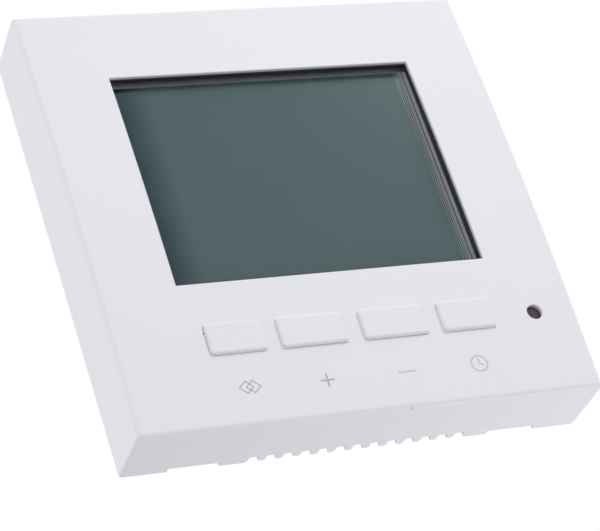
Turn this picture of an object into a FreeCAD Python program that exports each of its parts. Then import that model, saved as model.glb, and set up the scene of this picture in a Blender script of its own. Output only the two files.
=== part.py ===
"""Flush-mounted wall thermostat: a square front unit on a steel plate, with a rear body.

Millimetres. +X is to the right, +Y goes into the wall and +Z is up. The origin is on the
wall plane, in the middle of the plate. Everything in front of the wall has a negative y.
"""
import FreeCAD, Part
import os

V = FreeCAD.Vector

# Front cover
SIZE = 86.0                 # width and height of the faceplate
EDGE_DEPTH = 13.3           # wall plane to the front at the top and bottom edges
BOW = 1.25                  # how much further the middle of the face stands out
REAR_INSET = 0.4            # draft of each side, from front to rear
WALL = 2.0
CORNER_R = 1.2
FRONT_EDGE_R = 1.0
HALF = SIZE / 2
CAVITY_HALF = HALF - WALL - 0.1

# Display window
WINDOW_W, WINDOW_H = 57.7, 43.8
WINDOW_Z = 6.2
BEZEL_POCKET_Y = -13.0      # floor of the pocket behind the window's edge
BEZEL_W, BEZEL_H = 62.6, 48.6
BEZEL_WALL = 1.2
COLLAR_WALL = 0.4
LIP = 0.3
GLASS_W, GLASS_H = 59.8, 45.8
WINDOW_PANE_Y = (-12.7, -11.7)
LCD_Y = (-11.6, -9.4)
LIGHT_GUIDE_Y = (-9.3, -7.1)
LIGHT_GUIDE_W, LIGHT_GUIDE_H = 56.0, 42.2
LAMP_X = (28.3, 29.9)
LAMP_Z = (-3.7, 16.3)
LAMP_HALF_H = 1.6
LAMP_FRONT_Y = -9.0
CONTACT_STRIP_W, CONTACT_STRIP_H = 50.0, 2.2
DISPLAY_INSET = 0.2         # edge of the glass to the light guide and the contact strip

# Keys: one row under the window
KEY_BOTTOM, KEY_TOP = -29.6, -23.7
KEY_SPANS = {"menu": (-27.1, -16.4), "plus": (-13.7, -1.5), "minus": (1.5, 13.7), "clock": (16.4, 27.1)}
KEY_GAP = 0.25
KEY_PROUD = 0.6
KEY_TRAVEL = 0.4
KEY_FLANGE = 0.8
KEY_FLANGE_Y = (-11.7, -10.95)
KEY_R = 0.9
KEY_EDGE_R = 0.45
KEY_Z = (KEY_BOTTOM + KEY_TOP) / 2

# Indicator beside the keys
INDICATOR_X, INDICATOR_Z = 34.9, -27.3
INDICATOR_R = 1.5
INDICATOR_FLANGE_R = 2.2
INDICATOR_FLANGE_Y = (-11.9, -11.2)
INDICATOR_LAMP_R, INDICATOR_LAMP_Y = 1.45, -9.8

# Vents and feet along the rear edges
VENT_COUNT = 13
VENT_PITCH = 3.25
VENT_GAP = 1.65
VENT_DEPTH = 1.9
TOOTH_SET_BACK = 0.25
COMB_HALF = 21.1
RECESS_SPAN = (25.1, 34.4)
RECESS_DEPTH = 1.25

# Logic board, behind the face
BOARD_HALF = 38.5
BOARD_Y = (-7.0, -5.8)
POST_AT = 36.0
POST_R = 2.4
SCREW_R = 0.95
PILOT_R = 1.0
BOARD_HOLE_R = 1.15
SWITCH = 6.0
SWITCH_TOP_Y = -10.2
PLUNGER_R = 1.6
PLUNGER_END_Y = -8.4

# Parts on the rear of the logic board
MCU_AT, MCU_SIDE, MCU_T = (-4.0, -9.0), 10.0, 1.4
CRYSTAL_X, CRYSTAL_Z, CRYSTAL_T = (6.0, 14.0), (-12.6, -9.6), 2.4
CELL_AT, CELL_R, CELL_T = (-26.0, 30.7), 6.25, 2.0
HOLDER_W, HOLDER_H, HOLDER_T, HOLDER_FLOOR = 15.0, 14.0, 3.2, 0.8
THERMISTOR_X, THERMISTOR_TOP_Z = -12.0, -33.8
BEAD_R, BEAD_LENGTH, BEAD_LIFT = 1.1, 2.6, 1.4
LEG_HALF, LEG_OFFSET, LEG_LENGTH = 0.2, 0.6, 2.2

# Plate on the wall
PLATE_HALF_X, PLATE_HALF_Z = 39.0, 38.9
PLATE_T = 1.2
SLOT_SPACING = 60.0
SLOT_W, SLOT_LENGTH = 4.2, 7.0
TAB_X, TAB_W, TAB_T, TAB_FRONT_Y = 15.0, 6.0, 0.8, -5.2
TAB_WINDOW_W, TAB_WINDOW_Y = 5.4, (-4.2, -2.4)
SNAP_W = 5.0
SNAP_NOSE_Y = (-4.0, -2.6)
SNAP_ARM_FRONT_Y = -12.0
SNAP_CLEAR = 0.1            # nose to tab
SNAP_ARM_CLEAR = 0.9        # arm to tab

# Rear body in the wall box
HOUSING_HALF = 25.0
HOUSING_DEPTH = 25.0
HOUSING_WALL = 1.6
BAY_Z = -12.5               # the terminal bay lies below this height
BAY_Y = 16.0                # and behind this depth
LID_HALF = 23.0
SPIGOT_HALF = 18.5
LID_T = 1.6
LID_SCREW_AT = 21.0
BOSS_R = 2.8
BOSS_DEPTH = 5.4
LID_HOLE_R = 1.25
POWER_BOARD_Y = (4.0, 5.6)
POWER_HALF = 23.0
REST_X, REST_R = 20.5, 2.2  # the two pillars the power board is screwed to

# Parts on the rear of the power board: spans in x and z, height above the board
RELAY = ((-18.0, 1.0), (5.0, 20.4), 15.2)
FILM_CAPACITOR = ((4.0, 17.5), (14.5, 21.5), 13.0)
ELECTROLYTICS = ((4.0, 7.0, 11.5), (3.15, 15.5, 11.0))      # radius, x, height
ELECTROLYTIC_Z = 8.5
VARISTOR_AT, VARISTOR_R, VARISTOR_T = (-13.8, 5.5, -4.5), 4.5, 3.6
VARISTOR_FOOT = ((-13.0, -11.0), (-7.0, -2.0), 2.0)
FUSE_AT, FUSE_R, FUSE_H = (-4.5, -4.5), 4.2, 7.6
TRANSFORMER = ((3.5, 16.0), (-9.5, 2.0), 10.5)
BOBBIN = ((5.0, 14.5), (-10.3, 2.8), (2.0, 8.5))

# Board-to-board connector
HEADER_Z = 10.0
HEADER_COLUMNS, HEADER_ROWS = 7, 2
HEADER_PITCH = 2.54
PIN = 0.64
SOCKET_HOLE = 1.24
SOCKET_H = 4.2
PIN_TIP_Y = -4.4
PIN_STRIP_Y = 1.5
HEADER_MARGIN = 0.4
HEADER_CLEAR = 2.0          # how much wider the lid's slot is than the pins' field

# Terminals
TERMINALS = 6
TERMINAL_PITCH = 7.4
TERMINAL_Y = 23.4           # rear face of the block
WIRE_R = 1.7
WIRE_Y = 18.2
CLAMP_Z = -18.0
CLAMP_HALF = 2.5
BLOCK_Z = (-23.2, -13.2)
CLAMP_CLEAR = 0.1
CLAMP_DEPTH = 2.6           # from the wire's axis towards the board
TERMINAL_HEAD_R, TERMINAL_HEAD_DEPTH = 2.2, 1.8
TERMINAL_SHANK_R, TERMINAL_SHANK = 1.3, 1.6
CLAMP_TUNNEL_R = 1.9

# Screws: head radius, shank radius, shank length, driver slot
HEAD_T, HEAD_EDGE_R, SLOT_DEPTH = 1.2, 0.35, 0.5
BOARD_SCREW = (1.9, SCREW_R, 5.0, 0.5)
LID_SCREW = (1.9, 1.0, 7.5, 0.6)
POWER_SCREW = (2.0, SCREW_R, 6.0, 0.6)
TERMINAL_SCREW = (TERMINAL_HEAD_R, TERMINAL_SHANK_R, TERMINAL_SHANK, 0.6)

PARTS = {}


def box(x0, x1, y0, y1, z0, z1):
    """Axis-aligned block between two corners."""
    return Part.makeBox(x1 - x0, y1 - y0, z1 - z0, V(x0, y0, z0))


def rod(r, x, z, y0, y1):
    """Cylinder along Y."""
    return Part.makeCylinder(r, y1 - y0, V(x, y0, z), V(0, 1, 0))


def slab(width, height, x, z, y0, y1, r=0.0):
    """Plate in the XZ plane with rounded corners, from y0 to y1."""
    body = box(x - width / 2, x + width / 2, y0, y1, z - height / 2, z + height / 2)
    if r <= 0:
        return body
    upright = [e for e in body.Edges if abs(e.tangentAt(e.FirstParameter).y) > 0.99]
    return body.makeFillet(r, upright)


def fuse(shapes):
    """One solid from several that touch or overlap."""
    first, rest = shapes[0], shapes[1:]
    return first.multiFuse(rest).removeSplitter() if rest else first


def keep(name, shape):
    """Store a node's shape, checked for soundness."""
    if not shape.isValid() or not shape.Solids:
        raise ValueError(name + " is not a valid solid")
    PARTS[name] = shape


def face_y(z):
    """y of the bowed face at height z."""
    return -(EDGE_DEPTH + BOW * (1 - (z / HALF) ** 2))


def bowed(half_rear, half_front, shift, y_rear, half_x):
    """Block whose front is the bowed face, moved by shift along Y."""
    y_edge = face_y(half_front) + shift
    profile = [V(0, y_rear, -half_rear), V(0, y_edge, -half_front)]
    crown = V(0, face_y(0) + shift, 0)
    arc = Part.Arc(profile[1], crown, V(0, y_edge, half_front)).toShape()
    lines = [
        Part.makeLine(profile[0], profile[1]),
        arc,
        Part.makeLine(V(0, y_edge, half_front), V(0, y_rear, half_rear)),
        Part.makeLine(V(0, y_rear, half_rear), profile[0]),
    ]
    side = Part.Face(Part.Wire(lines))
    return side.extrude(V(2 * half_x, 0, 0)).translated(V(-half_x, 0, 0))


def tapered_plan(half_rear, half_front, y_front):
    """Prism along Z whose left and right sides have the cover's draft."""
    corners = [V(-half_rear, 0, -HALF), V(half_rear, 0, -HALF), V(half_front, y_front, -HALF)]
    corners.append(V(-half_front, y_front, -HALF))
    plan = Part.Face(Part.makePolygon(corners + corners[:1]))
    return plan.extrude(V(0, 0, SIZE))


def cover_blank():
    """Solid outer shape of the cover with its rounded edges."""
    y_front = -(EDGE_DEPTH + BOW + 0.5)
    flare = REAR_INSET * (EDGE_DEPTH + BOW + 0.5) / EDGE_DEPTH
    half_rear = HALF - REAR_INSET
    blank = bowed(half_rear, HALF, 0.0, 0.0, HALF + 1)
    blank = blank.common(tapered_plan(half_rear, half_rear + flare, y_front))
    corners = [
        e for e in blank.Edges
        if abs(e.tangentAt(e.FirstParameter).y) > 0.9 and e.BoundBox.YMax > -0.01
    ]
    blank = blank.makeFillet(CORNER_R, corners)
    front = [e for e in blank.Edges if e.BoundBox.YMax < -(EDGE_DEPTH - CORNER_R)]
    return blank.makeFillet(FRONT_EDGE_R, front)


def key_opening(name, y0, y1, grow=0.0):
    """Outline of a key, grown by grow on every side."""
    left, right = KEY_SPANS[name]
    width = right - left + 2 * grow
    height = KEY_TOP - KEY_BOTTOM + 2 * grow
    return slab(width, height, (left + right) / 2, KEY_Z, y0, y1, KEY_R)


def rim_cuts(side):
    """Vent gaps and recesses in the rear edge of the top (side 1) or bottom (side -1) wall."""
    z0, z1 = sorted((side * (CAVITY_HALF - 1), side * (HALF + 1)))
    cuts = [box(-COMB_HALF, COMB_HALF, -TOOTH_SET_BACK, 1, z0, z1)]
    for i in range(VENT_COUNT):
        x = (i - (VENT_COUNT - 1) / 2) * VENT_PITCH
        cuts.append(box(x - VENT_GAP / 2, x + VENT_GAP / 2, -VENT_DEPTH, 1, z0, z1))
    for hand in (-1, 1):
        x0, x1 = sorted((hand * RECESS_SPAN[0], hand * RECESS_SPAN[1]))
        cuts.append(box(x0, x1, -RECESS_DEPTH, 1, z0, z1))
    return cuts


def snap(side, hand):
    """Snap rib on the cover's inner wall, standing just clear of a catch tab."""
    x0, x1 = hand * TAB_X - SNAP_W / 2, hand * TAB_X + SNAP_W / 2
    root = side * (CAVITY_HALF + 0.5)
    z0, z1 = sorted((side * (PLATE_HALF_Z + SNAP_CLEAR), root))
    nose = box(x0, x1, *SNAP_NOSE_Y, z0, z1)
    z0, z1 = sorted((side * (PLATE_HALF_Z + SNAP_ARM_CLEAR), root))
    return [nose, box(x0, x1, SNAP_ARM_FRONT_Y, SNAP_NOSE_Y[1], z0, z1)]


def front_cover():
    """White shell with the window, key openings, vents, board posts and snaps."""
    cover = cover_blank().cut(bowed(CAVITY_HALF, CAVITY_HALF, WALL, 1.0, CAVITY_HALF))
    posts = [
        rod(POST_R, sx * POST_AT, sz * POST_AT, face_y(POST_AT) + 1.0, BOARD_Y[0])
        for sx in (-1, 1) for sz in (-1, 1)
    ]
    snaps = [s for side in (-1, 1) for hand in (-1, 1) for s in snap(side, hand)]
    cover = fuse([cover] + posts + snaps)
    cuts = [slab(WINDOW_W, WINDOW_H, 0, WINDOW_Z, -20, 0, 0.6)]
    cuts.append(slab(BEZEL_W + 0.4, BEZEL_H + 0.4, 0, WINDOW_Z, BEZEL_POCKET_Y, -8, 0.6))
    cuts += [key_opening(n, -20, -5) for n in KEY_SPANS]
    cuts.append(rod(INDICATOR_R + 0.05, INDICATOR_X, INDICATOR_Z, -20, -5))
    cuts += [
        rod(PILOT_R, sx * POST_AT, sz * POST_AT, BOARD_Y[0] - 4.5, BOARD_Y[0] + 1)
        for sx in (-1, 1) for sz in (-1, 1)
    ]
    cuts += rim_cuts(-1) + rim_cuts(1)
    return cover.cut(cuts)


def display_bezel():
    """Black frame: a thin collar lining the window and a tray that holds the display."""
    collar = slab(WINDOW_W - 0.1, WINDOW_H - 0.1, 0, WINDOW_Z, -16, WINDOW_PANE_Y[0], 0.6)
    collar = collar.common(bowed(HALF, HALF, 0.12, 5.0, HALF))
    tray = slab(BEZEL_W, BEZEL_H, 0, WINDOW_Z, BEZEL_POCKET_Y, BOARD_Y[0] - 0.05, 0.6)
    body = fuse([collar, tray])
    hollow = slab(
        BEZEL_W - 2 * BEZEL_WALL, BEZEL_H - 2 * BEZEL_WALL, 0, WINDOW_Z,
        BEZEL_POCKET_Y + LIP, 0, 0.4,
    )
    opening = slab(
        WINDOW_W - 0.1 - 2 * COLLAR_WALL, WINDOW_H - 0.1 - 2 * COLLAR_WALL, 0, WINDOW_Z,
        -20, 0, 0.3,
    )
    return body.cut([hollow, opening])


def display():
    """Pane, liquid crystal panel, light guide, its two lamps and the contact strip."""
    keep("display_window", slab(GLASS_W, GLASS_H, 0, WINDOW_Z, *WINDOW_PANE_Y))
    keep("lcd_panel", slab(GLASS_W, GLASS_H, 0, WINDOW_Z, *LCD_Y))
    top = WINDOW_Z + GLASS_H / 2 - DISPLAY_INSET
    guide_z = top - LIGHT_GUIDE_H / 2
    keep("light_guide", slab(LIGHT_GUIDE_W, LIGHT_GUIDE_H, 0, guide_z, *LIGHT_GUIDE_Y))
    lamps = [
        box(*LAMP_X, LAMP_FRONT_Y, BOARD_Y[0] - 0.02, z - LAMP_HALF_H, z + LAMP_HALF_H)
        for z in LAMP_Z
    ]
    keep("backlight_lamps", Part.makeCompound(lamps))
    low = WINDOW_Z - GLASS_H / 2 + DISPLAY_INSET
    half = CONTACT_STRIP_W / 2
    keep("contact_strip", box(-half, half, LCD_Y[1], BOARD_Y[0], low, low + CONTACT_STRIP_H))


def key_cap(name):
    """Key proud of the face, with a flange behind the cover that stops it falling out."""
    cap = key_opening(name, -18, KEY_FLANGE_Y[0] + 0.2, -KEY_GAP)
    cap = cap.common(bowed(HALF, HALF, -KEY_PROUD, 5.0, HALF))
    front = [e for e in cap.Edges if e.BoundBox.YMax < KEY_FLANGE_Y[0] - 1]
    cap = cap.makeFillet(KEY_EDGE_R, front)
    left, right = KEY_SPANS[name]
    flange = slab(
        right - left + 2 * KEY_FLANGE, KEY_TOP - KEY_BOTTOM + 2 * KEY_FLANGE,
        (left + right) / 2, KEY_Z, *KEY_FLANGE_Y,
    )
    return fuse([cap, flange])


def keys():
    """Four key caps, the plungers they press and the switch bodies on the board."""
    switches = []
    for name, (left, right) in KEY_SPANS.items():
        x = (left + right) / 2
        keep("key_" + name, key_cap(name))
        keep("plunger_" + name, rod(PLUNGER_R, x, KEY_Z, KEY_FLANGE_Y[1], PLUNGER_END_Y))
        body = slab(SWITCH, SWITCH, x, KEY_Z, SWITCH_TOP_Y, BOARD_Y[0], 0.4)
        well = rod(PLUNGER_R + 0.15, x, KEY_Z, SWITCH_TOP_Y - 1, PLUNGER_END_Y + KEY_TRAVEL + 0.2)
        switches.append(body.cut(well))
    keep("tact_switches", Part.makeCompound(switches))


def indicator():
    """Dark lens in the face and the lamp behind it."""
    x, z = INDICATOR_X, INDICATOR_Z
    lens = rod(INDICATOR_R, x, z, face_y(z) + 0.1, INDICATOR_FLANGE_Y[0])
    rim = [e for e in lens.Edges if e.BoundBox.YMax < face_y(z) + 0.2]
    lens = lens.makeFillet(0.3, rim)
    keep("indicator_lens", fuse([lens, rod(INDICATOR_FLANGE_R, x, z, *INDICATOR_FLANGE_Y)]))
    lamp = rod(INDICATOR_LAMP_R, x, z, INDICATOR_LAMP_Y, BOARD_Y[0])
    dome = [e for e in lamp.Edges if e.BoundBox.YMax < INDICATOR_LAMP_Y + 0.1]
    keep("indicator_lamp", lamp.makeFillet(1.2, dome))


def screw(kind, x, y, z):
    """Pan-head screw along +Y whose head sits in front of y, with one driver slot."""
    r_head, r_shank, length, slot = kind
    head = rod(r_head, x, z, y - HEAD_T, y)
    rim = [e for e in head.Edges if e.BoundBox.YMax < y - HEAD_T + 0.1]
    head = head.makeFillet(HEAD_EDGE_R, rim)
    body = fuse([head, rod(r_shank, x, z, y, y + length)])
    floor = y - HEAD_T + SLOT_DEPTH
    return body.cut(box(x - r_head, x + r_head, y - 2 * HEAD_T, floor, z - slot / 2, z + slot / 2))


def flipped(shape, y):
    """The shape turned to face the other way about the plane at y."""
    return shape.mirror(V(0, y, 0), V(0, 1, 0))


def logic_board():
    """Board behind the display with holes for its screws."""
    board = slab(2 * BOARD_HALF, 2 * BOARD_HALF, 0, 0, *BOARD_Y, 1.5)
    holes = [
        rod(BOARD_HOLE_R, sx * POST_AT, sz * POST_AT, -10, 0) for sx in (-1, 1) for sz in (-1, 1)
    ]
    return board.cut(holes)


def board_screws():
    """Four screws that hold the logic board to the cover's posts."""
    y = BOARD_Y[1]
    screws = [
        flipped(screw(BOARD_SCREW, sx * POST_AT, y, sz * POST_AT), y)
        for sx in (-1, 1) for sz in (-1, 1)
    ]
    return Part.makeCompound(screws)


def logic_parts():
    """What stands on the rear of the logic board."""
    y = BOARD_Y[1]
    keep("microcontroller", slab(MCU_SIDE, MCU_SIDE, *MCU_AT, y, y + MCU_T, 0.3))
    can = box(*CRYSTAL_X, y, y + CRYSTAL_T, *CRYSTAL_Z)
    along = [e for e in can.Edges if abs(e.tangentAt(0).x) > 0.99]
    keep("clock_crystal", can.makeFillet(0.8, along))
    holder = slab(HOLDER_W, HOLDER_H, *CELL_AT, y, y + HOLDER_T, 1.0)
    well = rod(CELL_R + 0.2, *CELL_AT, y + HOLDER_FLOOR, y + HOLDER_T + 1)
    keep("cell_holder", holder.cut(well))
    keep("backup_cell", rod(CELL_R, *CELL_AT, y + HOLDER_FLOOR, y + HOLDER_FLOOR + CELL_T))
    keep("room_thermistor", thermistor(y))


def thermistor(y):
    """Bead on two flat legs, on a board face at y."""
    low = THERMISTOR_TOP_Z - LEG_LENGTH
    foot = V(THERMISTOR_X, y + BEAD_LIFT, low + 0.8 - BEAD_LENGTH)
    bead = Part.makeCylinder(BEAD_R, BEAD_LENGTH, foot)
    bead = bead.makeFillet(0.9, [e for e in bead.Edges if e.Closed])
    legs = []
    for side in (-1, 1):
        x = THERMISTOR_X + side * LEG_OFFSET
        legs.append(box(x - LEG_HALF, x + LEG_HALF, y, y + BEAD_LIFT + 0.2, low, THERMISTOR_TOP_Z))
    return fuse([bead] + legs)


def pin_places():
    """x and z of every pin in the board-to-board connector."""
    for i in range(HEADER_COLUMNS):
        for j in range(HEADER_ROWS):
            x = (i - (HEADER_COLUMNS - 1) / 2) * HEADER_PITCH
            yield x, HEADER_Z + (j - (HEADER_ROWS - 1) / 2) * HEADER_PITCH


def connector():
    """Socket strip on the logic board, pin strip and pins on the power board."""
    width, height = HEADER_COLUMNS * HEADER_PITCH, HEADER_ROWS * HEADER_PITCH
    socket = slab(
        width + HEADER_MARGIN, height + HEADER_MARGIN, 0, HEADER_Z, BOARD_Y[1], BOARD_Y[1] + SOCKET_H,
    )
    half = SOCKET_HOLE / 2
    holes = [
        box(x - half, x + half, BOARD_Y[1] + 0.6, 1, z - half, z + half) for x, z in pin_places()
    ]
    keep("socket_strip", socket.cut(holes))
    pins = [
        box(x - PIN / 2, x + PIN / 2, PIN_TIP_Y, POWER_BOARD_Y[0], z - PIN / 2, z + PIN / 2)
        for x, z in pin_places()
    ]
    keep("pin_strip", slab(width, height, 0, HEADER_Z, PIN_STRIP_Y, POWER_BOARD_Y[0]).cut(pins))
    keep("header_pins", Part.makeCompound(pins))


def lid_screw_places():
    """x and z of the four screws through lid and plate."""
    return [(sx * LID_SCREW_AT, sz * LID_SCREW_AT) for sx in (-1, 1) for sz in (-1, 1)]


def wall_slot(x):
    """Slot for a wall screw, centred on x and running along X."""
    r = SLOT_W / 2
    reach = SLOT_LENGTH / 2 - r
    ends = [rod(r, x + side * reach, 0, -5, 5) for side in (-1, 1)]
    return fuse([box(x - reach, x + reach, -5, 5, -r, r)] + ends)


def mounting_plate():
    """Steel plate on the wall: slots for the wall screws and four bent catch tabs."""
    plate = slab(2 * PLATE_HALF_X, 2 * PLATE_HALF_Z, 0, 0, -PLATE_T, 0, 2.0)
    tabs = []
    windows = []
    for side in (-1, 1):
        z0, z1 = sorted((side * (PLATE_HALF_Z - TAB_T), side * PLATE_HALF_Z))
        for hand in (-1, 1):
            x = hand * TAB_X
            tabs.append(box(x - TAB_W / 2, x + TAB_W / 2, TAB_FRONT_Y, 0, z0, z1))
            half = TAB_WINDOW_W / 2
            windows.append(box(x - half, x + half, *TAB_WINDOW_Y, z0 - 1, z1 + 1))
    cuts = windows + [slab(2 * SPIGOT_HALF + 0.4, 2 * SPIGOT_HALF + 0.4, 0, 0, -5, 5, 1.0)]
    cuts += [rod(LID_HOLE_R, x, z, -5, 5) for x, z in lid_screw_places()]
    cuts += [wall_slot(hand * SLOT_SPACING / 2) for hand in (-1, 1)]
    return fuse([plate] + tabs).cut(cuts)


def base_lid():
    """Plastic lid that closes the rear body through the plate's middle."""
    flange = slab(2 * LID_HALF, 2 * LID_HALF, 0, 0, -PLATE_T - LID_T, -PLATE_T, 2.0)
    spigot = slab(2 * SPIGOT_HALF, 2 * SPIGOT_HALF, 0, 0, -PLATE_T, 0.8, 1.0)
    slot = slab(
        HEADER_COLUMNS * HEADER_PITCH + HEADER_CLEAR, HEADER_ROWS * HEADER_PITCH + HEADER_CLEAR,
        0, HEADER_Z, -5, 5, 0.5,
    )
    holes = [rod(LID_HOLE_R, x, z, -5, 5) for x, z in lid_screw_places()]
    return fuse([flange, spigot]).cut([slot] + holes)


def rear_housing():
    """Rear body: an open box with a stepped terminal bay at its lower rear."""
    h, w, d = HOUSING_HALF, HOUSING_WALL, HOUSING_DEPTH
    outer = slab(2 * h, 2 * h, 0, 0, 0, d, 2.0)
    outer = outer.cut(box(-h - 1, h + 1, BAY_Y, d + 1, -h - 1, BAY_Z))
    inner = slab(2 * (h - w), 2 * (h - w), 0, 0, -1, d - w, 1.0)
    inner = inner.cut(box(-h, h, BAY_Y - w, d, -h - 1, BAY_Z + w))
    housing = outer.cut(inner)
    bosses = [rod(BOSS_R, x, z, 0, BOSS_DEPTH) for x, z in lid_screw_places()]
    rests = []
    for hand in (-1, 1):
        rests.append(rod(REST_R, hand * REST_X, 0, POWER_BOARD_Y[1], d - w + 0.5))
        x0, x1 = sorted((hand * REST_X, hand * (h - w + 0.3)))
        rests.append(box(x0, x1, POWER_BOARD_Y[1], d - w, -1, 1))
    housing = fuse([housing] + bosses + rests)
    mouth = box(
        -TERMINALS * TERMINAL_PITCH / 2 - 0.1, TERMINALS * TERMINAL_PITCH / 2 + 0.1,
        BAY_Y - w - 1, BAY_Y + 1, BLOCK_Z[0] - 0.1, BLOCK_Z[1] + 0.1,
    )
    pilots = [rod(1.05, x, z, -1, BOSS_DEPTH - 0.4) for x, z in lid_screw_places()]
    pilots += [rod(PILOT_R, hand * REST_X, 0, 0, 12) for hand in (-1, 1)]
    return housing.cut([mouth] + pilots)


def power_board():
    """Mains board in the rear body, with its corners cut round the screw bosses."""
    board = slab(2 * POWER_HALF, 2 * POWER_HALF, 0, 0, *POWER_BOARD_Y)
    cut = 2 * (POWER_HALF - LID_SCREW_AT + BOSS_R + 0.4)
    corners = [
        slab(cut, cut, sx * POWER_HALF, sz * POWER_HALF, 0, 9) for sx in (-1, 1) for sz in (-1, 1)
    ]
    holes = [rod(BOARD_HOLE_R, hand * REST_X, 0, 0, 9) for hand in (-1, 1)]
    return board.cut(corners + holes)


def stood(spans, y, r=0.0):
    """Block on a board face at y, given its x span, z span and height, with softened top edges."""
    (x0, x1), (z0, z1), height = spans
    body = box(x0, x1, y, y + height, z0, z1)
    return body.makeFillet(r, [e for e in body.Edges if e.BoundBox.YMin > y + 1]) if r else body


def power_parts():
    """What stands on the rear of the power board."""
    y = POWER_BOARD_Y[1]
    keep("relay", stood(RELAY, y, 0.6))
    keep("film_capacitor", stood(FILM_CAPACITOR, y, 0.5))
    cans = []
    for r, x, height in ELECTROLYTICS:
        can = rod(r, x, ELECTROLYTIC_Z, y, y + height)
        cans.append(can.makeFillet(0.5, [e for e in can.Edges if e.BoundBox.YMin > y + 1]))
    keep("electrolytic_capacitors", Part.makeCompound(cans))
    x, lift, z = VARISTOR_AT
    disc = Part.makeCylinder(VARISTOR_R, VARISTOR_T, V(x, y + lift, z), V(1, 0, 0))
    keep("varistor", fuse([disc, stood(VARISTOR_FOOT, y)]))
    keep("fuse", rod(FUSE_R, *FUSE_AT, y, y + FUSE_H))
    spans_x, spans_z, (low, high) = BOBBIN
    keep("transformer", fuse([stood(TRANSFORMER, y), box(*spans_x, y + low, y + high, *spans_z)]))


def terminal_places():
    """x of each terminal."""
    return [(i - (TERMINALS - 1) / 2) * TERMINAL_PITCH for i in range(TERMINALS)]


def clamp(x, y0, y1):
    """Brass clamp with a tunnel for the wire and a hole for its screw."""
    r = CLAMP_HALF
    body = box(x - r, x + r, y0, y1, CLAMP_Z - r, CLAMP_Z + r)
    tunnel = Part.makeCylinder(CLAMP_TUNNEL_R, 2 * r + 2, V(x, WIRE_Y, CLAMP_Z - r - 1))
    return body.cut([tunnel, rod(TERMINAL_SHANK_R + 0.15, x, CLAMP_Z, WIRE_Y, y1 + 1)])


def terminals():
    """Block with wire entries from below, clamps inside it and screws from the rear."""
    half = TERMINALS * TERMINAL_PITCH / 2
    block = box(-half, half, POWER_BOARD_Y[1], TERMINAL_Y, *BLOCK_Z)
    head_y = TERMINAL_Y - TERMINAL_HEAD_DEPTH
    clamp_y = WIRE_Y - CLAMP_DEPTH
    r = CLAMP_HALF + CLAMP_CLEAR
    cuts, clamps, screws = [], [], []
    for x in terminal_places():
        cuts.append(Part.makeCylinder(WIRE_R, 4.0, V(x, WIRE_Y, BLOCK_Z[0] - 1)))
        cuts.append(box(x - r, x + r, clamp_y - 0.2, TERMINAL_Y + 1, CLAMP_Z - r, CLAMP_Z + r))
        clamps.append(clamp(x, clamp_y, head_y - 0.2))
        screws.append(flipped(screw(TERMINAL_SCREW, x, head_y, CLAMP_Z), head_y))
    keep("terminal_block", block.cut(cuts))
    keep("terminal_clamps", Part.makeCompound(clamps))
    keep("terminal_screws", Part.makeCompound(screws))


def base_screws():
    """Screws of the lid and of the power board."""
    lid_screws = [screw(LID_SCREW, x, -PLATE_T - LID_T, z) for x, z in lid_screw_places()]
    keep("lid_screws", Part.makeCompound(lid_screws))
    board_screws = [screw(POWER_SCREW, hand * REST_X, POWER_BOARD_Y[0], 0) for hand in (-1, 1)]
    keep("power_board_screws", Part.makeCompound(board_screws))


def build():
    """Make every node."""
    keep("front_cover", front_cover())
    keep("display_bezel", display_bezel())
    display()
    keys()
    indicator()
    keep("logic_board", logic_board())
    keep("board_screws", board_screws())
    logic_parts()
    connector()
    keep("mounting_plate", mounting_plate())
    keep("base_lid", base_lid())
    keep("rear_housing", rear_housing())
    keep("power_board", power_board())
    power_parts()
    terminals()
    base_screws()


build()
os.makedirs("parts", exist_ok=True)
for name, shape in PARTS.items():
    shape.exportStep(os.path.join("parts", name + ".step"))
    b = shape.BoundBox
    print("%-24s %d solid(s) %9.1f mm3  x %.1f..%.1f  y %.1f..%.1f  z %.1f..%.1f" % (
        name, len(shape.Solids), shape.Volume, b.XMin, b.XMax, b.YMin, b.YMax, b.ZMin, b.ZMax))
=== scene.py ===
"""Looks of the flush-mounted wall thermostat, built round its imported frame.

Meshes are made in millimetres (x right, y into the wall, z up) and finish_mesh() turns them into
metres. The front unit is modelled with a flat face first, and bow() then bends it.
"""
import bmesh
import bpy
import math
from mathutils import Matrix, Vector


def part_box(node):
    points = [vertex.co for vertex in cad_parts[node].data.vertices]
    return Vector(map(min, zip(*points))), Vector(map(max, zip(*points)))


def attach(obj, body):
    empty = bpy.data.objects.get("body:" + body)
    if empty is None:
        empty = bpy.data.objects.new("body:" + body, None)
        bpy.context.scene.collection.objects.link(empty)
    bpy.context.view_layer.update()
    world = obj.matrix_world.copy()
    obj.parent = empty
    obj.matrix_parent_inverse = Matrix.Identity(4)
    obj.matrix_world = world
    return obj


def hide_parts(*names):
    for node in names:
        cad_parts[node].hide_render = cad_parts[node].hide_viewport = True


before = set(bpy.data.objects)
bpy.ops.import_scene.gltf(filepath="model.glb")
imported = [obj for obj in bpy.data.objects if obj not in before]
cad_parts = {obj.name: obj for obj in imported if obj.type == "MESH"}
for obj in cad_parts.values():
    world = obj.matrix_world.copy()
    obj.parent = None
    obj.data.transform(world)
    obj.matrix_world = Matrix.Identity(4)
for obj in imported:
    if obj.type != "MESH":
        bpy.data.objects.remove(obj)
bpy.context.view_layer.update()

MM = 0.001
FRONT = "front_unit"
BASE = "base"
SIDES = (-1, 1)
CREASE_ANGLE = 35                   # edges sharper than this stay crisp


def box_mm(node):
    """Lowest and highest corner of a CAD node, in millimetres."""
    low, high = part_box(node)
    return low / MM, high / MM


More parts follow.
